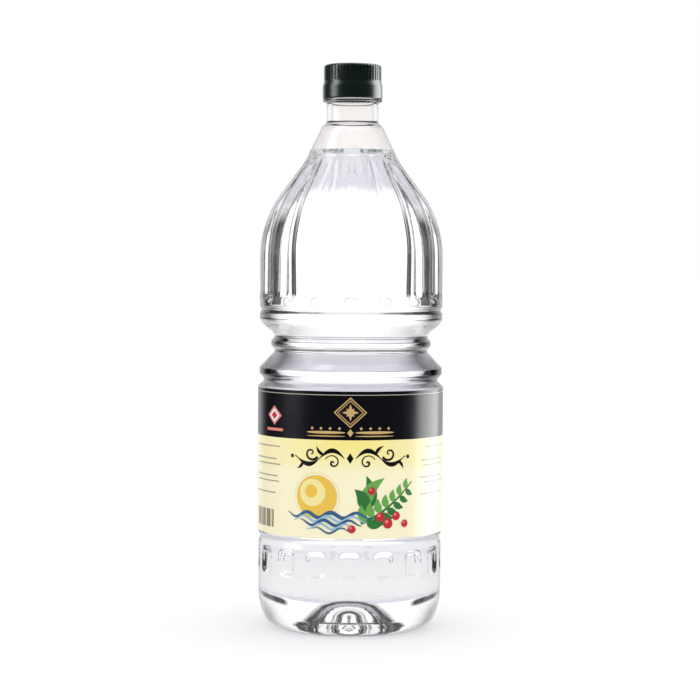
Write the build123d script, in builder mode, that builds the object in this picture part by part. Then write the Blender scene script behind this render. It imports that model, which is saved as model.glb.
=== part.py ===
"""Two-litre clear PET bottle of vinegar, with a ribbed screw cap and a wrap-around label.

All sizes are millimetres.  Z is up, the origin is the centre of the foot ring on the ground,
and the front of the label faces -Y.
"""

import os

from build123d import *

os.makedirs("parts", exist_ok=True)

# Whole bottle
overall_height = 320.0      # foot ring to the top of the cap
body_radius = 52.2          # lower body, bumper rings and crests of the flutes
wall = 0.5                  # blown wall, from the heel to the cone

# Foot and push-up
foot_radius = 39.6          # outer edge of the flat foot ring
foot_width = 3.2
heel_height = 13.2          # where the heel's upper curve would meet the side
heel_width = 6.3            # how far in its lower curve would meet the ground
push_up_height = 14.0
crown_radius = 12.0         # flat top of the push-up
knee_radius = 31.0          # where the push-up turns down to the foot
knee_height = 8.0
groove_count = 12           # radial stiffening grooves under the push-up
groove_width = 3.6
groove_depth = 2.0
groove_start = 10.0
groove_end = 33.0

# Windows: short pockets round the lower body
window_count = 17
window_width = 12.2
window_height = 15.6
window_depth = 2.2
window_corner = 4.0
window_bottom = 32.7
window_to_label = 7.6       # from the windows to the label's lower edge
neck_in_depth = 1.0         # shallow groove under the label
neck_in_reach = 3.0         # half of its height
panel_margin = 0.8          # label panel beyond each edge of the label

# Waist: two bumper rings either side of a small belt, with rises from the label's upper edge
waist_height = 46.0         # up to the foot of the flutes
waist_radius = 43.2
lower_groove_rise = 4.0     # groove between the label and the lower bumper
lower_groove_depth = 3.0
lower_bumper_rise = 9.4
belt_rise = 24.8
belt_radius = 45.6
belt_reach = 1.3            # half of the height of its crest
belt_flank = 3.0            # height of each slope from the crest to the waist
upper_bumper_rise = 40.4
skirt_height = 2.4          # of the upper bumper's rounded skirt
skirt_inset = 1.0
upper_groove_rise = 43.8    # fine groove above the upper bumper
upper_groove_depth = 1.2
crest_reach = 1.7           # half of the height of a bumper's crest
crest_fillet = 1.2
root_fillet = 1.6

# Flutes round the upper body, running out on the shoulder
flute_count = 17
flute_width = 15.2
flute_shoulder_width = 13.2  # at the turn of the shoulder
flute_top_width = 5.6
flute_depth = 2.3
flute_lift = 0.8            # how far the floors have risen out of the cone at the fill level
straight_height = 48.1      # from the foot of the flutes to the turn of the shoulder
floor_fillet = 1.3

# Shoulder and cone
shoulder_height = 33.8      # from the turn of the shoulder to the foot of the cone
shoulder_fillet = 60.0
cone_radius = 26.9
cone_height = 20.5
cone_fillet = 35.0
collar_radius = 17.1        # foot of the neck, where the blown wall begins
collar_height = 0.8

# Neck finish
neck_radius = 14.7
neck_length = 12.3          # plain neck between the collar and the support ring
support_radius = 16.9
support_thickness = 1.7
neck_bead = 1.0             # how far the top of the collar stands out of the neck
moulded_fillet = 0.4        # edges of the neck finish
finish_radius = 13.4        # threaded part at the root of the thread
bore_radius = 12.2
bore_lead = 2.0             # height over which the bore opens into the cone

# Cap
cap_height = 19.4
cap_clearance = 0.3         # band to support ring
band_radius = 17.0
band_height = 7.2
band_slope = 2.5            # height of the slope between band and ribs
grip_radius = 16.3          # crests of the ribs
cap_wall = 1.4
cap_top = 1.6
cap_edge = 1.7
cap_fillet = 0.5
rib_count = 48
rib_depth = 0.5
rib_run_out = 0.6           # plain strip between the slope and the foot of the ribs

# Label
label_film = 0.25
label_gap = 0.05            # film to panel
label_proud = 0.7           # outer face of the film over the body radius
label_lap = 10.0            # overlap of the two ends, at the back

# Contents
fill_drop = 14.4            # liquid surface below the collar
fill_gap = 0.1              # liquid to wall

# Heights of the zones, from the ground up
label_bottom = window_bottom + window_height + window_to_label
cap_bottom = overall_height - cap_height
support_top = cap_bottom - cap_clearance
support_bottom = support_top - support_thickness
collar_top = support_bottom - neck_length
collar_bottom = collar_top - collar_height
cone_bottom = collar_bottom - cone_height
shoulder_bottom = cone_bottom - shoulder_height
flute_bottom = shoulder_bottom - straight_height
label_top = flute_bottom - waist_height
mouth_top = overall_height - cap_top
fill_level = collar_bottom - fill_drop

# Radii that follow from others
foot_inner = foot_radius - foot_width
label_outer = body_radius + label_proud
panel_radius = label_outer - label_film - label_gap
cone_slope = (cone_radius - collar_radius) / cone_height
fill_radius = collar_radius + cone_slope * fill_drop

# Underside from the axis to the foot ring: radius, height and fillet of each corner
push_up_outline = (
    (0.0, push_up_height, 0.0),
    (crown_radius, push_up_height, 25.0),
    (knee_radius, knee_height, 8.0),
    (foot_inner, 0.0, 1.5),
)


def body_outline():
    """Outline of the blown body without flutes or windows, from the axis to the collar."""
    neck_in = label_bottom - window_to_label / 2
    lower_bumper = label_top + lower_bumper_rise
    belt = label_top + belt_rise
    belt_foot = belt_reach + belt_flank
    upper_bumper = label_top + upper_bumper_rise
    upper_groove = label_top + upper_groove_rise
    heel = (
        (foot_radius + heel_width, 0.0, 9.5),
        (body_radius, heel_height, 36.0),
    )
    label_panel = (
        (body_radius, neck_in - neck_in_reach, 2.0),
        (body_radius - neck_in_depth, neck_in, 2.0),
        (panel_radius, label_bottom - panel_margin, crest_fillet),
        (panel_radius, label_top + panel_margin, crest_fillet),
    )
    waist = (
        (body_radius - lower_groove_depth, label_top + lower_groove_rise, root_fillet),
        (body_radius, lower_bumper - crest_reach, crest_fillet),
        (body_radius, lower_bumper + crest_reach, crest_fillet),
        (waist_radius, belt - belt_foot, root_fillet),
        (belt_radius, belt - belt_reach, crest_fillet),
        (belt_radius, belt + belt_reach, crest_fillet),
        (waist_radius, belt + belt_foot, root_fillet),
        (body_radius - skirt_inset, upper_bumper - crest_reach - skirt_height, 4.0),
        (body_radius, upper_bumper - crest_reach, crest_fillet),
        (body_radius, upper_bumper + crest_reach, crest_fillet),
        (body_radius - upper_groove_depth, upper_groove, 0.9),
        (body_radius, upper_groove + crest_reach, crest_fillet),
    )
    shoulder = (
        (body_radius, shoulder_bottom, shoulder_fillet),
        (cone_radius, cone_bottom, cone_fillet),
        (collar_radius, collar_bottom, 0.0),
    )
    return push_up_outline + heel + label_panel + waist + shoulder


def flute_floor_outline():
    """Outline of the core that the floors of the flutes lie on."""
    floor_radius = body_radius - flute_depth
    return (
        (floor_radius, flute_bottom - 2 * flute_depth, 0.0),
        (floor_radius, shoulder_bottom - flute_depth / 3, shoulder_fillet),
        (cone_radius - flute_depth / 2, cone_bottom, cone_fillet / 2),
        (fill_radius + flute_lift, fill_level, 2.0),
        (fill_radius + flute_lift, collar_bottom, 0.0),
    )


def shrunk(outline, inset):
    """The outline moved into its material, to its left: mitred corners, concentric fillets."""
    points = [Vector(radius, height) for radius, height, _ in outline]
    headings = [(end - start).normalized() for start, end in zip(points, points[1:])]
    moved = []
    for (radius, height, fillet), before, after in zip(
        outline, headings[:1] + headings, headings + headings[-1:]
    ):
        step = inset / (1 + before.dot(after))
        left_turn = before.cross(after).Z > 0
        moved.append(
            (
                radius - step * (before.Y + after.Y),
                height + step * (before.X + after.X),
                fillet - inset if left_turn else fillet + inset,
            )
        )
    return moved


def half_section(outline):
    """Face inside an outline, closed straight across to the axis and along it."""
    points = [(radius, height) for radius, height, _ in outline]
    start, end = points[0], points[-1]
    with BuildSketch() as section:
        with BuildLine():
            FilletPolyline(*points, radius=[fillet for _, _, fillet in outline[1:-1]])
            Polyline(*dict.fromkeys((end, (0.0, end[1]), (0.0, start[1]), start)))
        make_face()
    return section.sketch


def turned(outline):
    """Solid of revolution of an outline."""
    with BuildPart() as solid:
        with BuildSketch(Plane.XZ):
            add(half_section(outline))
        revolve(axis=Axis.Z)
    return solid.part


def floor_outline(cutter, axis):
    """Edges between a cutter's walls and its deep end, which faces along the axis."""
    floor = cutter.faces().filter_by(lambda face: face.normal_at().dot(axis.direction) > 0.1)
    walls = cutter.faces() - floor
    return floor.edges() & walls.edges()


def flute_cutter(inset):
    """One flute at the front: a slot that narrows up the shoulder, over the curved floor."""
    with BuildPart() as cutter:
        with BuildSketch(Plane.XZ.offset(collar_radius / 2)):
            with Locations((0, flute_bottom + flute_width / 2)):
                Circle(flute_width / 2 + inset)
            with Locations((0, shoulder_bottom)):
                Circle(flute_shoulder_width / 2 + inset)
            with Locations((0, fill_level - flute_top_width)):
                Circle(flute_top_width / 2 + inset)
            make_hull()
        extrude(amount=body_radius)
        add(turned(shrunk(flute_floor_outline(), inset)), mode=Mode.SUBTRACT)
        if not inset:
            fillet(floor_outline(cutter, Axis.Y), floor_fillet)
    return cutter.part


def window_cutter(inset):
    """One window at the front: a rounded rectangle sunk to a cylindrical floor."""
    with BuildPart() as cutter:
        with BuildSketch(Plane.XZ.offset(body_radius / 2)):
            with Locations((0, window_bottom + window_height / 2)):
                RectangleRounded(
                    window_width + 2 * inset,
                    window_height + 2 * inset,
                    window_corner + inset,
                )
        extrude(amount=body_radius)
        Cylinder(
            body_radius - window_depth - inset,
            overall_height,
            align=(Align.CENTER, Align.CENTER, Align.MIN),
            mode=Mode.SUBTRACT,
        )
        if not inset:
            fillet(floor_outline(cutter, Axis.Y), floor_fillet)
    return cutter.part


def groove_cutter(inset):
    """One radial groove in the underside, a bar whose top follows the push-up."""
    top = groove_depth + inset
    raised = [(radius, height + top, fillet) for radius, height, fillet in push_up_outline]
    raised += [(foot_inner, -1.0, 0.0)]
    with BuildPart() as cutter:
        with BuildSketch(Plane.XZ):
            add(half_section(raised))
            with Locations(((groove_start + groove_end) / 2, push_up_height / 2)):
                Rectangle(
                    groove_end - groove_start + 2 * inset,
                    2 * overall_height,
                    mode=Mode.INTERSECT,
                )
        extrude(amount=groove_width / 2 + inset, both=True)
        if not inset:
            fillet(floor_outline(cutter, Axis.Z), floor_fillet)
    return cutter.part


def bottle_form(inset):
    """Closed form of the blown body: the outside, or shrunk by inset the cavity or liquid.

    Only the outside has rounded floors, so the wall is a little thicker in the corners.
    """
    body = turned(shrunk(body_outline(), inset))
    flute = flute_cutter(inset)
    window = window_cutter(inset)
    groove = groove_cutter(inset)
    with BuildPart() as form:
        add(body)
        with PolarLocations(0, flute_count):
            add(flute, mode=Mode.SUBTRACT)
        with PolarLocations(0, window_count):
            add(window, mode=Mode.SUBTRACT)
        with PolarLocations(0, groove_count):
            add(groove, mode=Mode.SUBTRACT)
    return form.part


# Bottle: blown body, thick moulded neck with its support ring, and the bore
outside = bottle_form(0)
cavity = bottle_form(wall)
cavity_top_radius, cavity_top, _ = shrunk(body_outline(), wall)[-1]
neck_outline = (
    (0.0, collar_bottom, 0.0),
    (collar_radius, collar_bottom, 0.1),
    (neck_radius + neck_bead, collar_top, moulded_fillet),
    (neck_radius, collar_top + neck_bead, moulded_fillet),
    (neck_radius, support_bottom - moulded_fillet, moulded_fillet),
    (support_radius, support_bottom + moulded_fillet, moulded_fillet),
    (support_radius, support_top, moulded_fillet),
    (finish_radius, support_top, moulded_fillet),
    (finish_radius, mouth_top, moulded_fillet),
    (0.0, mouth_top, 0.0),
)
with BuildPart() as bottle:
    add(outside)
    add(turned(neck_outline))
    add(cavity, mode=Mode.SUBTRACT)
    with BuildSketch(Plane.XZ):
        with BuildLine():
            Polyline(
                (0, cavity_top - 1),
                (cavity_top_radius, cavity_top),
                (bore_radius, cavity_top + bore_lead),
                (bore_radius, mouth_top + 1),
                (0, mouth_top + 1),
                close=True,
            )
        make_face()
    revolve(axis=Axis.Z, mode=Mode.SUBTRACT)

# Vinegar: fills the blown body up to the fill level
liquid = bottle_form(wall + fill_gap)
with BuildPart() as vinegar:
    add(liquid)
    split(bisect_by=Plane.XY.offset(fill_level), keep=Keep.BOTTOM)

# Cap: ribbed grip over a plain band, hollow, seated on the mouth
slope_bottom = cap_bottom + band_height
slope_top = slope_bottom + band_slope
cap_outline = (
    (0.0, cap_bottom, 0.0),
    (band_radius, cap_bottom, cap_fillet),
    (band_radius, slope_bottom, cap_fillet),
    (grip_radius, slope_top, cap_fillet),
    (grip_radius, overall_height, cap_edge),
    (0.0, overall_height, 0.0),
)
with BuildPart() as cap:
    add(turned(cap_outline))
    with BuildSketch(Plane.XY.offset(cap_bottom)):
        Circle(grip_radius - cap_wall)
    extrude(amount=cap_height - cap_top, mode=Mode.SUBTRACT)
    with BuildSketch(Plane.XY.offset(slope_top + rib_run_out)):
        with PolarLocations(grip_radius, rib_count):
            Circle(rib_depth)
    extrude(amount=cap_height, mode=Mode.SUBTRACT)

# Label: one turn of film, its ends lapped at the back
with BuildPart() as label:
    with BuildSketch(Plane.XY.offset(label_bottom)) as lap:
        Circle(label_outer + label_film)
        with Locations((0, label_outer)):
            Rectangle(label_lap, label_outer, mode=Mode.INTERSECT)
        Circle(label_outer)
        Circle(label_outer - label_film, mode=Mode.SUBTRACT)
    extrude(amount=label_top - label_bottom)

for name, piece in (
    ("bottle", bottle),
    ("vinegar", vinegar),
    ("cap", cap),
    ("label", label),
):
    piece.part.label = name
    export_step(piece.part, f"parts/{name}.step")
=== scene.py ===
"""Looks of the two-litre bottle of vinegar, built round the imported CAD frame.

Outlines are in millimetres and become metres at mesh time.  Z is up, the origin is the centre of
the foot ring, and the front of the label faces -Y.
"""

import math

import bpy
import numpy as np
from mathutils import Matrix, Vector


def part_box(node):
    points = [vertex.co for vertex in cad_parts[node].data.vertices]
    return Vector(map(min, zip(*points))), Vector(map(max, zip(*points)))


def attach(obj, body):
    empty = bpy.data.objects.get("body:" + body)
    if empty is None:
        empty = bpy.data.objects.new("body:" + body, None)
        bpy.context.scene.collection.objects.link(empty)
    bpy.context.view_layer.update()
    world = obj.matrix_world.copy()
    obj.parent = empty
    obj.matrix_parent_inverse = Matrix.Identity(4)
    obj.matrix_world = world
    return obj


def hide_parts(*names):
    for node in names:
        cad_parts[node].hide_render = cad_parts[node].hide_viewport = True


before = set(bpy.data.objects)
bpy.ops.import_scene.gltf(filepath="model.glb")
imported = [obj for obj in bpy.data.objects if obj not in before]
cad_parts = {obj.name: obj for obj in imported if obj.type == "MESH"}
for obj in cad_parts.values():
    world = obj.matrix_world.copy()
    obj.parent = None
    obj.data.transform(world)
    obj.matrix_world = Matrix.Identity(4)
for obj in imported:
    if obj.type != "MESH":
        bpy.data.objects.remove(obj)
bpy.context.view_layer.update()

MM = 0.001
TURN = 2 * math.pi


def corners_of(node):
    """Lowest and highest corner of a CAD node, in millimetres."""
    low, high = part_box(node)
    return np.array(low) / MM, np.array(high) / MM


# ---------------------------------------------------------------- sizes from the frame
label_low, label_high = corners_of("label")
label_radius, label_bottom, label_top = label_high[0], label_low[2], label_high[2]
cap_bottom = corners_of("cap")[0][2]
mouth_top = corners_of("bottle")[1][2]
fill_level = corners_of("vinegar")[1][2]

# ---------------------------------------------------------------- sizes of the bottle
wall = 0.5
film = 0.25
film_gap = 0.05
label_proud = 0.7           # how far the label stands past the bumpers
body_radius = label_radius - label_proud
panel_radius = label_radius - film - film_gap
panel_margin = 0.8

foot_radius = 39.6
foot_inner = 36.4
foot_fillet = 1.5
# the push-up in the foot: radius, height and fillet of each corner
push_up = ((10.4, 16.4, 20.0), (20.0, 7.8, 1.5), (22.4, 7.6, 1.5), (28.4, 2.2, 1.5))
heel_height = 13.2
heel_width = 6.3
heel_fillet = 9.5
heel_blend = 36.0

window_count = 17
window_width = 12.2
window_height = 15.6
window_depth = 1.6
window_corner = 4.0
window_bottom = 32.7
window_slope = 3.0          # width over which a window sinks to its floor
nip_depth = 1.0             # the shallow groove between the windows and the label
nip_reach = 3.0
nip_fillet = 2.0

waist_radius = 43.2
lower_groove_rise = 4.0
lower_groove_depth = 3.0
lower_bumper_rise = 9.4
belt_rise = 24.8
belt_radius = 45.6
belt_reach = 1.3
belt_flank = 3.0
upper_bumper_rise = 40.4
skirt_height = 2.4
skirt_inset = 1.0
skirt_fillet = 4.0
upper_groove_rise = 43.8
upper_groove_depth = 1.2
upper_groove_fillet = 0.9
crest_reach = 1.7
crest_fillet = 1.2
root_fillet = 1.6

flute_count = 17
flute_width = 15.2
flute_shoulder_width = 13.2
flute_top_width = 5.6
flute_depth = 1.9
flute_slope = 7.4           # width over which a flute sinks to its floor
flute_fade = 2.0            # below the fill level, where the flutes have run out
flute_bottom = label_top + 46.0
shoulder_bottom = flute_bottom + 48.1
shoulder_fillet = 60.0
cone_radius = 26.9
cone_fillet = 35.0
collar_radius = 17.1
collar_bottom = fill_level + 14.4
cone_bottom = collar_bottom - 20.5
collar_top = collar_bottom + 0.8

neck_radius = 14.7
neck_bead = 1.0
support_radius = 16.9
support_top = cap_bottom - 0.3
support_bottom = support_top - 1.7
finish_radius = 13.4
bore_radius = 12.2
bore_lead = 2.0
bore_fillet = 1.0
moulded_fillet = 0.4
thread_start = mouth_top - 2.5
thread_pitch = 3.2
thread_height = 1.1
thread_reach = 1.3          # half the thread's width at its root
thread_turns = 1.6
thread_lead = 0.125         # turns over which it rises at each end
thread_clear = 1.0          # kept free over the support ring

liquid_inset = 0.3          # depth of the liquid's face in the wall
surface_dip = 0.5           # the middle of the surface below the fill level
# the surface from the wall to the middle: share of the radius, and height over the middle
meniscus = ((1.0, 0.9), (0.985, 0.35), (0.96, 0.1), (0.9, 0.0), (0.6, 0.0), (0.25, 0.0))

band_bottom = label_top - 26.8

# ---------------------------------------------------------------- fineness of the meshes
fillet_step = 18.0          # most degrees between rows on a fillet
longest_row = 6.0           # most millimetres between rows anywhere
# extra rows at the ends of the windows and flutes: from, to and spacing, inward from the edge
window_foot_rows = (0.4, 4.5, 0.9)
window_head_rows = (0.5, 4.5, 0.9)
flute_foot_rows = (0.4, 10.0, 1.0)
# degrees of the columns from the middle of a flute, closer together at the sides of a window
column_degrees = (0.0, 2.0, 3.4, 4.4, 5.4, 6.4, 7.6, 9.1)


# ---------------------------------------------------------------- outlines
def unit(vector):
    return vector / np.linalg.norm(vector)


def left_of(heading):
    return np.array((-heading[1], heading[0]))


def rounded(corners):
    """Points and left-hand normals along an outline of (radius, height, fillet) corners."""
    places = [np.array(corner[:2], float) for corner in corners]
    points = [places[0]]
    headings = [unit(places[1] - places[0])]

    def run_to(end, heading):
        start = points[-1]
        pieces = math.ceil(np.linalg.norm(end - start) / longest_row)
        for i in range(1, pieces + 1):
            points.append(start + (end - start) * i / pieces)
            headings.append(heading)

    for before, place, after, corner in zip(places, places[1:], places[2:], corners[1:]):
        arriving, leaving = unit(place - before), unit(after - place)
        turn = math.atan2(left_of(arriving) @ leaving, arriving @ leaving)
        fillet = corner[2]
        run_to(place - arriving * fillet * math.tan(abs(turn) / 2), arriving)
        side = math.copysign(fillet, turn)
        centre = points[-1] + side * left_of(arriving)
        pieces = max(abs(math.degrees(turn)) / fillet_step, abs(turn) * fillet / longest_row)
        pieces = math.ceil(pieces)
        for i in range(1, pieces + 1):
            angle = turn * i / pieces
            heading = arriving * math.cos(angle) + left_of(arriving) * math.sin(angle)
            points.append(centre - side * left_of(heading))
            headings.append(heading)
    run_to(places[-1], unit(places[-1] - places[-2]))
    return np.array(points), np.array([left_of(heading) for heading in headings])


def body_corners():
    """Corners of the blown body, from the axis under the push-up to the collar."""
    nip = (label_bottom + window_bottom + window_height) / 2
    lower_bumper = label_top + lower_bumper_rise
    belt = label_top + belt_rise
    belt_foot = belt_reach + belt_flank
    upper_bumper = label_top + upper_bumper_rise
    upper_groove = label_top + upper_groove_rise
    return (
        (0.0, push_up[0][1], 0.0),
        *push_up,
        (foot_inner, 0.0, foot_fillet),
        (foot_radius + heel_width, 0.0, heel_fillet),
        (body_radius, heel_height, heel_blend),
        (body_radius, nip - nip_reach, nip_fillet),
        (body_radius - nip_depth, nip, nip_fillet),
        (panel_radius, label_bottom - panel_margin, crest_fillet),
        (panel_radius, label_top + panel_margin, crest_fillet),
        (body_radius - lower_groove_depth, label_top + lower_groove_rise, root_fillet),
        (body_radius, lower_bumper - crest_reach, crest_fillet),
        (body_radius, lower_bumper + crest_reach, crest_fillet),
        (waist_radius, belt - belt_foot, root_fillet),
        (belt_radius, belt - belt_reach, crest_fillet),
        (belt_radius, belt + belt_reach, crest_fillet),
        (waist_radius, belt + belt_foot, root_fillet),
        (body_radius - skirt_inset, upper_bumper - crest_reach - skirt_height, skirt_fillet),
        (body_radius, upper_bumper - crest_reach, crest_fillet),
        (body_radius, upper_bumper + crest_reach, crest_fillet),
        (body_radius - upper_groove_depth, upper_groove, upper_groove_fillet),
        (body_radius, upper_groove + crest_reach, crest_fillet),
        (body_radius, shoulder_bottom, shoulder_fillet),
        (cone_radius, cone_bottom, cone_fillet),
        (collar_radius, collar_bottom, 0.0),
    )


def neck_corners():
    """Corners of the moulded neck: from the collar, over the mouth and down the bore."""
    return (
        (collar_radius, collar_bottom, 0.0),
        (neck_radius + neck_bead, collar_top, moulded_fillet),
        (neck_radius, collar_top + neck_bead, moulded_fillet),
        (neck_radius, support_bottom - moulded_fillet, moulded_fillet),
        (support_radius, support_bottom + moulded_fillet, moulded_fillet),
        (support_radius, support_top, moulded_fillet),
        (finish_radius, support_top, moulded_fillet),
        (finish_radius, mouth_top, moulded_fillet),
        (bore_radius, mouth_top, moulded_fillet),
        (bore_radius, collar_bottom + bore_lead, bore_fillet),
        (collar_radius - wall, collar_bottom, 0.0),
    )


# ---------------------------------------------------------------- relief
def eased(distance, width):
    """0 outside a shape and 1 from width inside it, with distance negative inside."""
    share = np.clip(-distance / width, 0, 1)
    return (1 - np.cos(share * math.pi)) / 2


def capsule(x, z, low, low_radius, high, high_radius):
    """Distance from the slot round two circles on the line x = 0."""
    length = high - low
    lean = (low_radius - high_radius) / length
    rise = math.sqrt(1 - lean * lean)
    x, z = np.abs(x), z - low
    along = z * rise - x * lean
    below = np.hypot(x, z) - low_radius
    above = np.hypot(x, z - length) - high_radius
    beside = x * rise + z * lean - low_radius
    return np.where(along < 0, below, np.where(along > rise * length, above, beside))


def rounded_box(x, z, half_width, half_height, corner):
    """Distance from a rounded rectangle about the origin."""
    dx, dz = np.abs(x) - half_width + corner, np.abs(z) - half_height + corner
    return np.hypot(np.maximum(dx, 0), np.maximum(dz, 0)) + np.minimum(np.maximum(dx, dz), 0) - corner


def from_nearest(angle, count):
    """Angle from the nearest of count features, the first of which is at the front."""
    share = TURN / count
    return (angle + share / 2) % share - share / 2


def relief(radius, height, angle):
    """Depth of the flutes and windows at places on the blown body."""
    across = radius * np.sin(from_nearest(angle, flute_count))
    # height and radius of the circles that a flute's outline runs round
    ends = (
        (flute_bottom + flute_width / 2, flute_width / 2),
        (shoulder_bottom, flute_shoulder_width / 2),
        (fill_level - flute_top_width, flute_top_width / 2),
    )
    slot = np.minimum(*(capsule(across, height, *low, *high) for low, high in zip(ends, ends[1:])))
    floor = np.interp(
        height,
        (shoulder_bottom, cone_bottom, fill_level - flute_fade),
        (flute_depth, flute_depth / 2, 0.0),
    )
    flutes = floor * eased(slot, flute_slope)

    across = radius * np.sin(from_nearest(angle, window_count))
    middle = window_bottom + window_height / 2
    box = rounded_box(across, height - middle, window_width / 2, window_height / 2, window_corner)
    return flutes + window_depth * eased(box, window_slope)


def thread(radius, height, angle):
    """Outward bulge of the screw thread on the finish."""
    turns = (thread_start - height) / thread_pitch
    wound = np.round(turns - angle / TURN) + angle / TURN
    off = np.abs(turns - wound) * thread_pitch
    fade = np.clip(np.minimum(wound, thread_turns - wound) / thread_lead, 0, 1)
    on_finish = (radius > finish_radius - 0.01) & (height > support_top + thread_clear)
    return thread_height * fade * np.where(on_finish, np.clip(thread_reach - off, 0, 1), 0)


# ---------------------------------------------------------------- meshes
def with_heights(points, normals, heights):
    """The outline with extra rows at the given heights, all of them above the push-up."""
    for height in heights:
        above = int(np.argmax(points[:, 1] > height))
        low, high = points[above - 1], points[above]
        share = (height - low[1]) / (high[1] - low[1])
        points = np.insert(points, above, low + (high - low) * share, axis=0)
        normal = unit(normals[above - 1] * (1 - share) + normals[above] * share)
        normals = np.insert(normals, above, normal, axis=0)
    return points, normals


def place_rows(points, normals, depth, angles):
    """Rows of vertices round the axis, sunk into the wall by depth, along the normals."""
    radius = points[:, 0, None] + normals[:, 0, None] * depth
    height = points[:, 1, None] + normals[:, 1, None] * depth
    return np.stack((radius * np.sin(angles), -radius * np.cos(angles), height), axis=-1)


def sunk_body(inset, angles):
    """Rows of the blown body with its relief, moved in by inset, without the one on the axis."""
    edges = (
        window_bottom + np.arange(*window_foot_rows),
        window_bottom + window_height - np.arange(*window_head_rows),
        flute_bottom + np.arange(*flute_foot_rows),
    )
    points, normals = with_heights(*rounded(body_corners()), np.concatenate(edges))
    depth = relief(points[:, 0, None], points[:, 1, None], angles[None, :])
    return place_rows(points, normals, depth + inset, angles)[1:]


def round_angles():
    """Angles of the columns of vertices, the same on every flute."""
    rib = 180 / flute_count
    half = np.array(column_degrees)
    share = np.radians(np.concatenate((half, (rib,), 2 * rib - half[:0:-1])))
    return (np.arange(flute_count)[:, None] * TURN / flute_count + share).ravel()


def link_piece(name, mesh):
    """A smooth-shaded object of the mesh, in the scene."""
    mesh.polygons.foreach_set("use_smooth", [True] * len(mesh.polygons))
    piece = bpy.data.objects.new(name, mesh)
    bpy.context.scene.collection.objects.link(piece)
    return piece


def mesh_piece(name, rows):
    """A closed object from rows of points round the axis, with a point at each end."""
    count, around = rows.shape[:2]
    points = np.vstack((rows.reshape(-1, 3), rows[0].mean(0), rows[-1].mean(0))) * MM
    sides = [(j, (j + 1) % around) for j in range(around)]
    faces = []
    for start in range(0, (count - 1) * around, around):
        above = start + around
        faces += [(start + j, start + k, above + k, above + j) for j, k in sides]
    top, low_end, high_end = (count - 1) * around, count * around, count * around + 1
    faces += [(low_end, k, j) for j, k in sides]
    faces += [(high_end, top + j, top + k) for j, k in sides]
    mesh = bpy.data.meshes.new(name)
    mesh.from_pydata(points.tolist(), [], faces)
    mesh.validate()
    return link_piece(name, mesh)


def make_bottle(material):
    """The blown shell with its moulded neck, as one closed wall."""
    angles = round_angles()
    points, normals = rounded(neck_corners())
    bulge = thread(points[:, 0, None], points[:, 1, None], angles[None, :])
    outside = sunk_body(0.0, angles)
    neck = place_rows(points, normals, -bulge, angles)[1:-1]
    inside = sunk_body(wall, angles)[::-1]
    piece = mesh_piece("bottle_shell", np.concatenate((outside, neck, inside)))
    piece.data.materials.append(material)
    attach(piece, "root")
    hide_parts("bottle")


def make_vinegar(material):
    """The liquid, from just inside the wall, with a small meniscus round its level surface."""
    rows = sunk_body(liquid_inset, round_angles())
    heights = rows[:, 0, 2]
    top = int(np.argmax(heights > fill_level))
    share = (fill_level - heights[top - 1]) / (heights[top] - heights[top - 1])
    edge = rows[top - 1] + (rows[top] - rows[top - 1]) * share
    surface = []
    for reach, rise in meniscus:
        ring = edge * (reach, reach, 1.0)
        ring[:, 2] = fill_level - surface_dip + rise
        surface.append(ring)
    piece = mesh_piece("vinegar_fill", np.concatenate((rows[:top], np.array(surface))))
    piece.data.materials.append(material)
    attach(piece, "root")
    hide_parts("vinegar")


# ---------------------------------------------------------------- nodes
def new_material(name):
    """A material with its node tree and its main shader."""
    material = bpy.data.materials.new(name)
    material.use_nodes = True
    tree = material.node_tree
    shader = tree.nodes["Principled BSDF"]
    return material, tree, shader


def grey(level):
    return (level,) * 3


def sines(degrees):
    return np.sin(np.radians(degrees))


def cosines(degrees):
    return np.cos(np.radians(degrees))


def place_in(tree, space):
    """x, y and z of a place on an "Object", or of a direction, which the world calls "Generated"."""
    place = tree.nodes.new("ShaderNodeTexCoord")
    parts = tree.nodes.new("ShaderNodeSeparateXYZ")
    tree.links.new(place.outputs[space], parts.inputs[0])
    return tuple(parts.outputs)


def math_node(tree, operation, *values):
    """The output of a math node that takes sockets and numbers."""
    node = tree.nodes.new("ShaderNodeMath")
    node.operation = operation
    for socket, value in zip(node.inputs, values):
        if isinstance(value, (int, float)):
            socket.default_value = value
        else:
            tree.links.new(value, socket)
    return node.outputs[0]


def product(tree, first, second):
    return math_node(tree, "MULTIPLY", first, second)


def greatest(tree, first, second):
    return math_node(tree, "MAXIMUM", first, second)


def flat_length(tree, x, y):
    """Length of (x, y), which is the distance from the bottle's axis."""
    square = math_node(tree, "ADD", product(tree, x, x), product(tree, y, y))
    return math_node(tree, "SQRT", square)


def ramp(tree, source, low, high):
    """0 up to low and 1 from high, smoothly; low may be the larger."""
    node = tree.nodes.new("ShaderNodeMapRange")
    node.interpolation_type = "SMOOTHSTEP"
    node.inputs["From Min"].default_value = low
    node.inputs["From Max"].default_value = high
    tree.links.new(source, node.inputs["Value"])
    return node.outputs["Result"]


def between(tree, source, low, low_full, high_full, high):
    """1 from low_full to high_full, falling smoothly to 0 at low and at high."""
    return product(tree, ramp(tree, source, low, low_full), ramp(tree, source, high, high_full))


def blend(tree, factor, first, second):
    """A mix of two colours, each a socket or a tuple."""
    node = tree.nodes.new("ShaderNodeMix")
    node.data_type = "RGBA"
    for name, value in (("Factor", factor), ("A", first), ("B", second)):
        if isinstance(value, tuple):
            node.inputs[name].default_value = (*value, 1)
        else:
            tree.links.new(value, node.inputs[name])
    return node.outputs["Result"]


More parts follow.
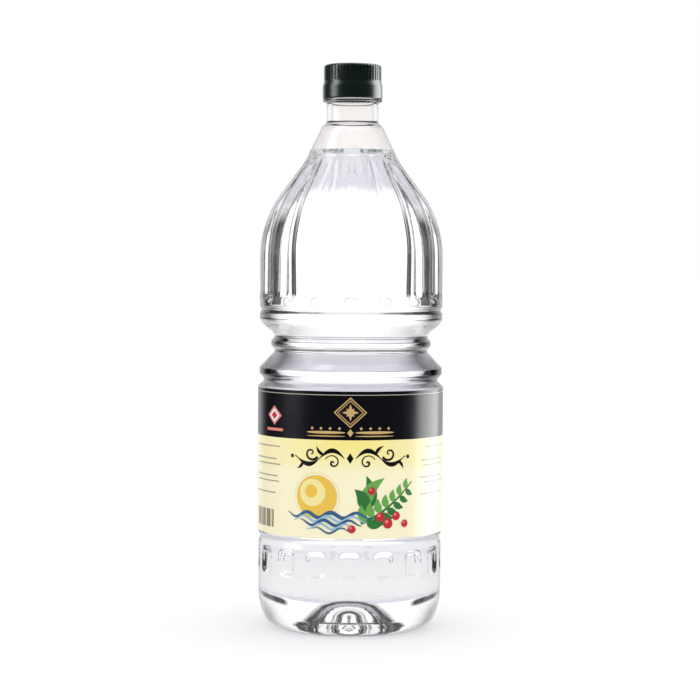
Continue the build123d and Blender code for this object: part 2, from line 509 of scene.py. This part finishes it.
def mix_shaders(tree, factor, first, second):
    """Gives the material's surface a mix of two shaders."""
    mix = tree.nodes.new("ShaderNodeMixShader")
    tree.links.new(factor, mix.inputs[0])
    tree.links.new(first.outputs[0], mix.inputs[1])
    tree.links.new(second.outputs[0], mix.inputs[2])
    tree.links.new(mix.outputs[0], tree.nodes["Material Output"].inputs["Surface"])


# ---------------------------------------------------------------- materials
plastic_ior = 1.45
plastic_clear = (0.985, 0.988, 0.99)
plastic_cone = (0.935, 0.918, 0.913)        # over the liquid
plastic_neck = (0.885, 0.871, 0.864)        # over the collar
plastic_shadow = (0.93, 0.93, 0.94)
# how far the plastic is turned from the eye, from 0 to 1, where a painted shade begins and where it is
# full; the painted shade stands in for the dark edges that the clear plastic shows
edge_turn, painted_edge_shade = (0.60, 0.92), (0.12, 0.12, 0.13)
heel_turn, painted_heel_shade = (0.40, 0.72), (0.16, 0.16, 0.165)
waist_turn, painted_waist_shade = (0.30, 0.56), (0.07, 0.07, 0.075)
# paler painted shade on the skirt between the belt and the upper bumper
painted_skirt_shade = (0.50, 0.50, 0.51)
heel_heights = (26.0, 8.0)                  # heights over which the heel's painted shade comes in, downward

vinegar_ior = 1.34
vinegar_clear = (0.99, 0.992, 0.995)
vinegar_shadow = (0.95, 0.95, 0.96)

cap_green = (0.002, 0.012, 0.009)
# painted sheen: the paler green where the cap is seen edge on
cap_painted_sheen_green = (0.004, 0.022, 0.018)
cap_sheen_turn = (0.5, 1.0)
cap_ior = 1.75
cap_grain = (1400.0, (0.23, 0.33), 0.10, 0.00002)

film_yellow = (0.96, 0.83, 0.26)
film_cream = (0.975, 0.915, 0.64)
film_black = (0.004, 0.004, 0.008)
film_inside = (0.9, 0.9, 0.9)
film_glow, film_glow_strength = (0.95, 0.94, 1.0), 0.33
film_pale = (1.0, 22.0)                     # millimetres below the band over which the yellow pales
film_sheen_aside = 0.75                      # how far a painted sheen pales the yellow towards the sides
film_grain = (160.0, (0.20, 0.30), 0.10, 0.00005)
ink_grain = (160.0, (0.25, 0.35), 0.10, 0.00005)


def grain(tree, shader, scale, rough, strength, distance):
    """Uneven gloss between two roughnesses, and a fine bump of the given height in metres."""
    place = tree.nodes.new("ShaderNodeTexCoord")
    noise = tree.nodes.new("ShaderNodeTexNoise")
    noise.inputs["Scale"].default_value = scale
    noise.inputs["Detail"].default_value = 4.0
    tree.links.new(place.outputs["Object"], noise.inputs["Vector"])
    span = tree.nodes.new("ShaderNodeMapRange")
    span.inputs["To Min"].default_value, span.inputs["To Max"].default_value = rough
    tree.links.new(noise.outputs["Fac"], span.inputs["Value"])
    tree.links.new(span.outputs["Result"], shader.inputs["Roughness"])
    bump = tree.nodes.new("ShaderNodeBump")
    bump.inputs["Strength"].default_value = strength
    bump.inputs["Distance"].default_value = distance
    tree.links.new(noise.outputs["Fac"], bump.inputs["Height"])
    tree.links.new(bump.outputs["Normal"], shader.inputs["Normal"])


def turned_away(tree):
    """0 where a surface faces the eye and 1 where it is seen edge on."""
    weight = tree.nodes.new("ShaderNodeLayerWeight")
    weight.inputs["Blend"].default_value = 0.5
    return weight.outputs["Facing"]


def clear_material(name, ior, shadow):
    """Smooth and clear; lamps and bounced light pass straight through it, tinted a little."""
    material, tree, shader = new_material(name)
    shader.inputs["Roughness"].default_value = 0.0
    shader.inputs["IOR"].default_value = ior
    shader.inputs["Transmission Weight"].default_value = 1.0
    path = tree.nodes.new("ShaderNodeLightPath")
    lamps = greatest(tree, path.outputs["Is Shadow Ray"], path.outputs["Is Diffuse Ray"])
    straight = tree.nodes.new("ShaderNodeBsdfTransparent")
    straight.inputs["Color"].default_value = (*shadow, 1)
    mix_shaders(tree, lamps, shader, straight)
    return material, tree, shader


def plastic_tint_and_painted_shade(tree):
    """The plastic's tint, with painted shade where it is seen edge on, above all at the waist and the
    heel.
    """
    belt_top = label_top + belt_rise + belt_reach + belt_flank
    skirt_top = label_top + upper_bumper_rise - crest_reach
    waist_heights = (label_top - 1, label_top + 2, flute_bottom - 1, flute_bottom + 5)
    skirt_heights = (belt_top - 1, belt_top + 1, skirt_top - 3, skirt_top)

    height = math_node(tree, "DIVIDE", place_in(tree, "Object")[2], MM)
    turned = turned_away(tree)
    tint = blend(tree, ramp(tree, height, fill_level, fill_level + 1), plastic_clear, plastic_cone)
    tint = blend(tree, ramp(tree, height, collar_bottom, collar_bottom + 1), tint, plastic_neck)
    # painted shade where the plastic is seen edge on, with more of it at the heel and the waist
    tint = blend(tree, ramp(tree, turned, *edge_turn), tint, painted_edge_shade)
    heel = product(tree, ramp(tree, height, *heel_heights), ramp(tree, turned, *heel_turn))
    tint = blend(tree, heel, tint, painted_heel_shade)
    waist = product(tree, between(tree, height, *waist_heights), ramp(tree, turned, *waist_turn))
    shade = blend(tree, between(tree, height, *skirt_heights), painted_waist_shade, painted_skirt_shade)
    return blend(tree, waist, tint, shade)


def clear_plastic():
    """The bottle's clear wall."""
    material, tree, shader = clear_material("clear_plastic", plastic_ior, plastic_shadow)
    tree.links.new(plastic_tint_and_painted_shade(tree), shader.inputs["Base Color"])
    return material


def vinegar_liquid():
    """Clear and colourless, like water."""
    material, tree, shader = clear_material("vinegar_liquid", vinegar_ior, vinegar_shadow)
    shader.inputs["Base Color"].default_value = (*vinegar_clear, 1)
    return material


def cap_plastic():
    """Glossy dark green with a fine grain, and a painted sheen that makes it a little paler where it
    is seen edge on.
    """
    material, tree, shader = new_material("cap_plastic")
    # painted sheen towards the edges, where the cap is seen edge on
    colour = blend(tree, ramp(tree, turned_away(tree), *cap_sheen_turn), cap_green, cap_painted_sheen_green)
    tree.links.new(colour, shader.inputs["Base Color"])
    shader.inputs["IOR"].default_value = cap_ior
    grain(tree, shader, *cap_grain)
    return material


def label_film():
    """Black band over a yellow field that pales downward, with a painted sheen that pales it outward,
    and white on the inside.

    The inside glows a little in what the clear plastic shows, as the lamps hardly reach it.
    """
    material, tree, shader = new_material("label_film")
    x, y, z = place_in(tree, "Object")
    outside = math_node(tree, "GREATER_THAN", flat_length(tree, x, y), (label_radius - film / 2) * MM)
    band = math_node(tree, "GREATER_THAN", z, band_bottom * MM)
    low = ramp(tree, z, *((band_bottom - drop) * MM for drop in film_pale))
    # painted sheen: the yellow pales towards the sides as seen from the front
    sheen_aside = ramp(tree, math_node(tree, "ABSOLUTE", x), 0.0, label_radius * MM)
    pale = greatest(tree, low, product(tree, sheen_aside, film_sheen_aside))
    front = blend(tree, band, blend(tree, pale, film_yellow, film_cream), film_black)
    tree.links.new(blend(tree, outside, film_inside, front), shader.inputs["Base Color"])
    path = tree.nodes.new("ShaderNodeLightPath")
    inside = math_node(tree, "SUBTRACT", 1.0, outside)
    seen = product(tree, inside, path.outputs["Is Transmission Ray"])
    shader.inputs["Emission Color"].default_value = (*film_glow, 1)
    tree.links.new(product(tree, seen, film_glow_strength), shader.inputs["Emission Strength"])
    grain(tree, shader, *film_grain)
    return material


def ink(name, colour):
    """Ink a little less glossy than the film."""
    material, tree, shader = new_material(name)
    shader.inputs["Base Color"].default_value = (*colour, 1)
    grain(tree, shader, *ink_grain)
    return material


# ---------------------------------------------------------------- print on the label
# Shapes lie on the label at (along, height) places, along being measured from the front.
inks = {
    "gold": (0.62, 0.42, 0.16),
    "pearl": (0.72, 0.66, 0.54),
    "black": (0.006, 0.006, 0.008),
    "grey": (0.36, 0.34, 0.30),
    "white": (0.9, 0.9, 0.88),
    "blue": (0.035, 0.12, 0.27),
    "sky": (0.32, 0.52, 0.68),
    "green": (0.03, 0.20, 0.045),
    "lime": (0.14, 0.42, 0.08),
    "red": (0.58, 0.02, 0.03),
    "rose": (0.75, 0.22, 0.20),
    "amber": (0.86, 0.55, 0.07),
    "straw": (0.93, 0.80, 0.34),
}
print_lift = 0.03           # from one layer of ink to the next
print_step = 1.4            # widest face, so that the ink follows the label
half_round = TURN * label_radius / 2
half_bar = 0.34             # half the height of a bar that stands for a line of small print
line_end, leaf_end = 0.02, 0.01     # half the width kept at the ends of tapered lines and of leaves
# layers of the vignette over its sun and big leaves, by side where there are two
stem_layer, small_leaf_layers, wave_layer, berry_layer = 4, {-1: 5, 1: 6}, 7, 12
leaf_inks = {-1: "green", 1: "lime"}


def level_path(along, height):
    """Points at the given places along the label, all at one height."""
    return np.stack((along, np.full(len(along), height)), 1)


class Print:
    """Strips of ink, gathered into one mesh.  Inks that overlap lie in layers of their own."""

    def __init__(self):
        self.points, self.faces, self.colours = [], [], []

    def strip(self, colour, path, half_widths, layer=1):
        """A strip along a path of (along, height) points, with half its width at each."""
        path = np.array(path, float)
        half_widths = np.broadcast_to(half_widths, len(path))
        ahead = np.gradient(path, axis=0)
        side = np.stack((-ahead[:, 1], ahead[:, 0]), 1) / np.linalg.norm(ahead, axis=1)[:, None]
        pieces = max(1, math.ceil(2 * half_widths.max() / print_step))
        share = np.linspace(-1, 1, pieces + 1)
        flat = path[:, None] + side[:, None] * (half_widths[:, None] * share)[..., None]
        radius = label_radius + print_lift * layer
        angle = flat[..., 0] / label_radius
        solid = np.stack((radius * np.sin(angle), -radius * np.cos(angle), flat[..., 1]), -1)
        first = len(self.points)
        self.points += (solid.reshape(-1, 3) * MM).tolist()
        number = list(inks).index(colour)
        across = pieces + 1
        for i in range(len(path) - 1):
            for j in range(pieces):
                corner = first + i * across + j
                self.faces.append((corner, corner + across, corner + across + 1, corner + 1))
                self.colours.append(number)

    def bar(self, colour, start, end, height, half_height, layer=1):
        count = math.ceil(abs(end - start) / print_step) + 1
        self.strip(colour, level_path(np.linspace(start, end, count), height), half_height, layer)

    def disc(self, colour, centre, radius, layer=1):
        end = 0.02              # radians left off, so that the ends keep some width
        turn = np.linspace(end, math.pi - end, 33)
        path = level_path(centre[0] - radius * np.cos(turn), centre[1])
        self.strip(colour, path, radius * np.sin(turn), layer)

    def lozenge(self, colour, centre, half_width, half_height, layer=1):
        along = np.linspace(-half_width, half_width, 2 * math.ceil(half_width / print_step) + 1)
        end = 0.001             # share of the height kept at the ends
        half_widths = half_height * (1 + end - np.abs(along) / half_width)
        self.strip(colour, level_path(centre[0] + along, centre[1]), half_widths, layer)

    def leaf(self, colour, base, tip, half_width, bend=0.15, layer=1):
        """A leaf, widest nearer its base, that bends to its left by a share of its length."""
        base, tip = np.array(base, float), np.array(tip, float)
        share = np.linspace(0, 1, 15)[:, None]
        off = np.array((base[1] - tip[1], tip[0] - base[0])) * bend
        path = base + (tip - base) * share + off * np.sin(share * math.pi)
        taper = np.sin(share[:, 0] ** 0.8 * math.pi)
        self.strip(colour, path, half_width * taper + leaf_end, layer)

    def piece(self):
        mesh = bpy.data.meshes.new("label_print")
        mesh.from_pydata(self.points, [], self.faces)
        for name, colour in inks.items():
            mesh.materials.append(ink(name + "_ink", colour))
        mesh.polygons.foreach_set("material_index", self.colours)
        piece = link_piece("label_print", mesh)
        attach(piece, "root")


def scroll(centre, size, start, flip):
    """Points of a spiral that winds in to its centre."""
    turns = 1.3
    turn = np.linspace(0, turns * TURN, 40)
    reach = size * (1 - turn / (turns * TURN)) ** 1.2
    x = centre[0] + flip * reach * np.cos(start + turn)
    return np.stack((x, centre[1] + reach * np.sin(start + turn)), 1)


def make_print():
    sheet = Print()
    print_band(sheet)
    print_flourish(sheet)
    print_vignette(sheet)
    print_sides(sheet)
    print_back(sheet)
    sheet.piece()


def print_band(sheet):
    """A dashed line along the top, a nested lozenge with a star, and tapered rules with dots."""
    dash, pitch, half_line = 1.0, 1.5, 0.20
    end = half_round - 5.0
    for start in np.arange(-end, end, pitch):
        sheet.bar("pearl", start, start + dash, label_top - 2.0, half_line)

    middle = (0.0, label_top - 11.6)
    nested = (("gold", 9.2, 8.4), ("black", 8.3, 7.6), ("gold", 7.3, 6.7), ("black", 6.7, 6.1))
    for layer, (colour, half_width, half_height) in enumerate(nested, 1):
        sheet.lozenge(colour, middle, half_width, half_height, layer)
    ray_count, ray_lengths, half_ray = 8, (4.6, 3.1), 0.75
    for i in range(ray_count):
        turn, length = i * TURN / ray_count, ray_lengths[i % 2]
        tip = (middle[0] + length * math.cos(turn), middle[1] + length * math.sin(turn))
        sheet.leaf("gold", middle, tip, half_ray, bend=0.0, layer=len(nested) + 1)

    start, end = 2.6, 25.0
    along = np.linspace(start, end, 24)
    taper = np.sin((along - start) / (end - start) * math.pi) ** 0.5
    first_dot, dot_pitch, dot_size = 6.0, 5.2, 0.9
    for side in (-1, 1):
        for drop, half_width in ((22.6, 0.75), (24.6, 0.3)):
            rule = level_path(side * along, label_top - drop)
            sheet.strip("gold", rule, half_width * taper + line_end)
        for i in range(4):
            dot = (side * (first_dot + dot_pitch * i), label_top - 20.4)
            sheet.lozenge("gold", dot, dot_size, dot_size)
    sheet.lozenge("gold", (0, label_top - 22.8), 1.7, 2.2)


def print_flourish(sheet):
    """A black pen flourish, the same to both sides of a small lozenge."""
    height = band_bottom - 10.0
    start, length = 3.2, 29.0
    swing_height, swing_half_turns, swing_loss = 4.6, 2.1, 0.35
    thin, thicker = 0.25, 1.05
    # along, rise, size, first angle and half the width at the outer end and in the middle
    scrolls = ((9.5, -2.4, 4.6, 0.4, (0.25, 0.7)), (22.0, 2.6, 4.2, 3.6, (0.7, 0.25)))
    # along and rise of each base and tip
    leaves = (((14.0, 1.5), (19.0, 6.8)), ((27.0, -1.5), (31.0, -6.2)))

    share = np.linspace(0, 1, 60)
    swing = np.sin(share * swing_half_turns * math.pi)
    rise = swing_height * swing * (1 - swing_loss * share)
    for side in (-1, 1):
        path = np.stack((side * (start + length * share), height + rise), 1)
        sheet.strip("black", path, thin + thicker * np.abs(swing) ** 1.5)
        for x, z, size, turn, half_widths in scrolls:
            path = scroll((side * x, height + z), size, turn, side)
            sheet.strip("black", path, np.linspace(*half_widths, len(path)), layer=2)
        sheet.disc("black", (side * 34.2, height + 0.6), 1.1)
        for ends in leaves:
            base, tip = ((side * x, height + z) for x, z in ends)
            sheet.leaf("black", base, tip, 0.9)
    sheet.lozenge("black", (0, height), 1.9, 3.0)


def print_vignette(sheet):
    """An amber sun over blue waves, with a leafy sprig and berries beside it."""
    middle = label_bottom + 18.0
    print_sun(sheet, middle)
    print_waves(sheet, middle)
    print_sprig(sheet, middle)
    print_berries(sheet, middle)


def print_sun(sheet, middle):
    """Discs on one another, the upper ones moved up and to the left, as (colour, radius, move)."""
    x, z = -19.0, middle + 5.0
    discs = (
        ("straw", 13.6, 0.0),
        ("white", 12.8, 0.0),
        ("amber", 12.0, 0.0),
        ("straw", 7.6, 2.2),
        ("amber", 3.6, 3.0),
    )
    for layer, (colour, radius, move) in enumerate(discs, 1):
        sheet.disc(colour, (x - move, z + move), radius, layer)


def print_waves(sheet, middle):
    """Rows of waves, each lower and shorter than the one above it."""
    rows = (("blue", 1.1), ("sky", 0.8), ("blue", 0.9), ("sky", 0.6), ("blue", 0.5))
    first_start, start_shift = -37.0, 4.0
    first_length, length_loss = 50.0, 7.0
    first_drop, row_drop = 5.0, 2.1
    wave_height, wave_turn, row_turn = 1.5, 0.45, 0.9
    share = np.linspace(0, 1, 70)
    for row, (colour, half_width) in enumerate(rows):
        along = first_start + start_shift * row + (first_length - length_loss * row) * share
        wave = wave_height * np.sin(along * wave_turn + row_turn * row)
        path = np.stack((along, middle - first_drop - row_drop * row + wave), 1)
        taper = np.sin(share * math.pi) ** 0.6
        sheet.strip(colour, path, half_width * taper + line_end, layer=wave_layer + row)


def print_sprig(sheet, middle):
    """Three big leaves under a bent stem, which has small leaves in pairs, shorter to its tip."""
    root, half_width, bend = (8.0, middle - 3.0), 3.6, 0.16
    big_leaves = ((-1, 9.0, 17.0), (1, 19.5, 15.5), (-1, 2.5, 9.5))
    for layer, (side, x, z) in enumerate(big_leaves, 1):
        sheet.leaf(leaf_inks[side], root, (x, middle + z), half_width, side * bend, layer)

    share = np.linspace(0, 1, 40)
    stem = np.stack((6.0 + 31.0 * share, middle - 9.0 + 22.0 * share ** 1.4), 1)
    sheet.strip("green", stem, np.linspace(0.9, 0.3, len(stem)), layer=stem_layer)
    lean, spread, lean_loss, bend = 48, 60, 4, 0.12
    for i, base in enumerate(stem[4:39:5]):
        length, half_width = 9.4 - 0.6 * i, 2.5 - 0.16 * i
        for side, layer in small_leaf_layers.items():
            turn = math.radians(lean + spread * side - lean_loss * i)
            tip = base + length * np.array((math.cos(turn), math.sin(turn)))
            sheet.leaf(leaf_inks[side], base, tip, half_width, side * bend, layer)


def print_berries(sheet, middle):
    """Red berries at (along, rise, radius), each with a paler spot at its upper left."""
    spot_size, spot_left, spot_up = 0.35, 0.3, 0.35
    berries = (
        (17.0, -6.0, 2.5), (21.5, -9.6, 2.8), (26.5, -5.6, 2.4),
        (12.0, 8.5, 2.1), (32.0, -10.0, 2.1), (1.0, -12.5, 2.2),
    )
    for x, rise, radius in berries:
        z = middle + rise
        sheet.disc("red", (x, z), radius, berry_layer)
        spot = (x - spot_left * radius, z + spot_up * radius)
        sheet.disc("rose", spot, spot_size * radius, berry_layer + 1)


def print_sides(sheet):
    """Thin bars where small print would be, a red lozenge in the band and a panel of stripes."""
    bar_length = 26.0
    drops = (5.0, 12.0, 15.0, 21.5, 24.5, 31.0)
    starts = (47.5, 44.5, 46.0, 43.5, 47.0, 44.0)
    for side in (-1, 1):
        for drop, start in zip(drops, starts[::side]):
            sheet.bar("grey", side * start, side * (start + bar_length), band_bottom - drop, half_bar)

    badge, squash = (-49.0, label_top - 14.5), 0.85
    for layer, (colour, size) in enumerate((("rose", 6.4), ("white", 4.6), ("red", 2.7)), 1):
        sheet.lozenge(colour, badge, size, squash * size, layer)
    sheet.bar("rose", badge[0] - 7.5, badge[0] + 7.5, label_top - 22.4, 0.8)

    first_stripe, stripe_pitch = -71.0, 2.1
    half_stripes = (0.35, 0.55, 0.75)
    for i in range(11):
        x = first_stripe + stripe_pitch * i
        stripe = ((x, label_bottom + 4), (x, label_bottom + 14))
        sheet.strip("black", stripe, half_stripes[i % 3])


def print_back(sheet):
    """Rows of thin bars and lozenges to both sides of the film's glued seam."""
    first_drop, row_pitch = 9.0, 3.6
    first_lozenge, lozenge_pitch = 104.0, 7.0
    for side in (-1, 1):
        for row in range(9):
            start, end = 96.0 + 3.0 * (row % 2), 148.0
            height = band_bottom - first_drop - row_pitch * row
            sheet.bar("grey", side * start, side * end, height, half_bar)
        for i in range(6):
            place = (side * (first_lozenge + lozenge_pitch * i), label_top - 13.4)
            sheet.lozenge("gold", place, 1.5, 2.2)
    seam = half_round - 4.0
    sheet.strip("grey", ((seam, label_bottom + 0.5), (seam, label_top - 0.5)), 0.12, layer=2)


# ---------------------------------------------------------------- surroundings
glow = 1.20                             # of the white behind, as clear plastic shows it
flag_start = (22.0, 26.0)               # degrees off straight back where the dark flags begin
flag_end = (48.0, 56.0)                 # and where they lighten to grey
flag_rise = (2.8, 1.0)                  # degrees of elevation over which they come in, downward
flag_level = 0.005
aside_end = (66.0, 76.0)                # where the grey beyond the flags turns white again
aside_level = 0.12
ceiling = (22.0, 32.0, 50.0, 62.0)      # degrees of elevation of a dark band over the backdrop
ceiling_level = 0.03

floor_half = 30.0                       # metres
floor_white = 0.9
floor_lift = 0.1                        # added for the camera, so that the floor shows white
table_near = (0.34, 0.50)               # metres over which the table turns from pale to white
table_pale = (0.92, 0.915, 0.93)
table_shade_ring = (0.30, 0.36, 0.56, 0.68)   # metres over which a ring of painted shade comes and goes
# colour of the painted shade on the table, a less lit ring that clear plastic shows
table_painted_shade = (0.80, 0.785, 0.86)
table_reach = (0.45, 1.10)              # metres over which the flags' dark begins on the table

daylight = 1.08                         # brightness of the room's plain white light
room_dark = 0.015                       # what gloss shows of the room around the camera
backdrop = (128.0, 150.0)               # degrees from the camera over which the backdrop comes in
top_box = (50.0, 70.0)                  # degrees of elevation over which a box overhead comes in
top_box_level = 0.6
left_box = (-96.0, -84.0, -70.0, -58.0) # degrees from the camera
left_box_foot = (0.0, 3.0)              # degrees of elevation over which it comes in
left_box_level = 4.5
right_box = (84.0, 100.0, 128.0, 150.0)
right_box_level = 5.5


def flagged(tree, backward, plain, share):
    """The plain colour, dark beside straight back, then grey, then plain again."""
    flags = product(tree, share, ramp(tree, backward, *cosines(flag_start)))
    beyond = ramp(tree, backward, *cosines(flag_end))
    room = ramp(tree, backward, *cosines(aside_end))
    dark = blend(tree, beyond, grey(flag_level), grey(aside_level))
    return blend(tree, flags, plain, blend(tree, room, dark, plain))


def seen_through(tree, x, y, z):
    """What clear plastic shows of the room: white, with low dark flags and a dark band high up."""
    backward = math_node(tree, "DIVIDE", y, flat_length(tree, x, y))
    colour = flagged(tree, backward, grey(glow), ramp(tree, z, *sines(flag_rise)))
    return blend(tree, between(tree, z, *sines(ceiling)), colour, grey(ceiling_level))


def seen_in_gloss(tree, path, x, y, z):
    """What gloss shows of the room: dark, with a white backdrop and boxes overhead and at the sides.

    Sharp reflections leave out the box at the right, which only the cap and the label need.
    """
    forward = product(tree, y, -1.0)
    around = product(tree, math_node(tree, "ARCTAN2", x, forward), 360 / TURN)
    behind = ramp(tree, math_node(tree, "ABSOLUTE", around), *backdrop)
    over = product(tree, ramp(tree, z, *sines(top_box)), top_box_level)
    left = product(tree, between(tree, around, *left_box), left_box_level)
    left = product(tree, left, ramp(tree, z, *sines(left_box_foot)))
    blurred = math_node(tree, "SUBTRACT", 1.0, path.outputs["Is Singular Ray"])
    right = product(tree, between(tree, around, *right_box), right_box_level)
    right = product(tree, right, blurred)
    level = math_node(tree, "ADD", room_dark, behind)
    for box_level in (over, left, right):
        level = greatest(tree, level, box_level)
    return level


def make_world():
    """A white room, with a view of its own for gloss and for clear plastic."""
    world = bpy.data.worlds.new("studio")
    bpy.context.scene.world = world
    world.use_nodes = True
    tree = world.node_tree
    path = tree.nodes.new("ShaderNodeLightPath")
    x, y, z = place_in(tree, "Generated")
    gloss = seen_in_gloss(tree, path, x, y, z)
    plain = blend(tree, path.outputs["Is Glossy Ray"], grey(daylight), gloss)
    plain = blend(tree, path.outputs["Is Camera Ray"], plain, grey(1.0))
    colour = blend(tree, path.outputs["Is Transmission Ray"], plain, seen_through(tree, x, y, z))
    background = tree.nodes["Background"]
    tree.links.new(colour, background.inputs["Color"])
    background.inputs["Strength"].default_value = 1.0


def make_floor():
    """A plain white floor that keeps the bottle's shadow, and a table of its own for clear plastic,
    with a ring of painted shade.
    """
    mesh = bpy.data.meshes.new("floor")
    corners = [(x * floor_half, y * floor_half, 0) for x, y in ((-1, -1), (1, -1), (1, 1), (-1, 1))]
    mesh.from_pydata(corners, [], [(0, 1, 2, 3)])
    floor = bpy.data.objects.new("floor", mesh)
    bpy.context.scene.collection.objects.link(floor)
    material, tree, shader = new_material("floor_white")
    shader.inputs["Base Color"].default_value = (*grey(floor_white), 1)
    shader.inputs["Roughness"].default_value = 0.9
    shader.inputs["Specular IOR Level"].default_value = 0.0
    shader.inputs["Emission Color"].default_value = (*grey(1.0), 1)
    path = tree.nodes.new("ShaderNodeLightPath")
    lift = product(tree, path.outputs["Is Camera Ray"], floor_lift)
    tree.links.new(lift, shader.inputs["Emission Strength"])
    x, y = place_in(tree, "Object")[:2]
    flat = flat_length(tree, x, y)
    plain = blend(tree, ramp(tree, flat, *table_near), table_pale, grey(glow))
    # a ring of painted shade on the table, as if it were less lit there
    plain = blend(tree, between(tree, flat, *table_shade_ring), plain, table_painted_shade)
    backward = math_node(tree, "DIVIDE", y, flat)
    colour = flagged(tree, backward, plain, ramp(tree, flat, *table_reach))
    table = tree.nodes.new("ShaderNodeEmission")
    tree.links.new(colour, table.inputs["Color"])
    mix_shaders(tree, path.outputs["Is Transmission Ray"], shader, table)
    floor.data.materials.append(material)
    floor.visible_glossy = False


# ---------------------------------------------------------------- camera
eye_height = 0.2055
eye_distance = 1.256
aim_height = 0.1579
aim_side = -0.0005
picture_roll = math.radians(0.4)
view_width = 0.3996         # width of the picture at the bottle's axis
sensor_width = 36.0


def make_camera():
    data = bpy.data.cameras.new("camera")
    data.sensor_width = sensor_width
    data.lens = sensor_width * eye_distance / view_width
    camera = bpy.data.objects.new("camera", data)
    eye = Vector((aim_side, -eye_distance, eye_height))
    aim = Vector((aim_side, 0, aim_height)) - eye
    turn = aim.to_track_quat("-Z", "Y").to_matrix() @ Matrix.Rotation(picture_roll, 3, "Z")
    camera.matrix_world = Matrix.Translation(eye) @ turn.to_4x4()
    bpy.context.scene.collection.objects.link(camera)
    bpy.context.scene.camera = camera


# ---------------------------------------------------------------- the scene
def give_material(node, material):
    """Gives a CAD node a new material."""
    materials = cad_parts[node].data.materials
    materials.clear()
    materials.append(material)


scene = bpy.context.scene
scene.view_settings.view_transform = "Standard"
scene.cycles.max_bounces = 24
scene.cycles.transmission_bounces = 20
scene.cycles.transparent_max_bounces = 24

make_bottle(clear_plastic())
make_vinegar(vinegar_liquid())
give_material("cap", cap_plastic())
give_material("label", label_film())
make_print()
make_world()
make_floor()
make_camera()
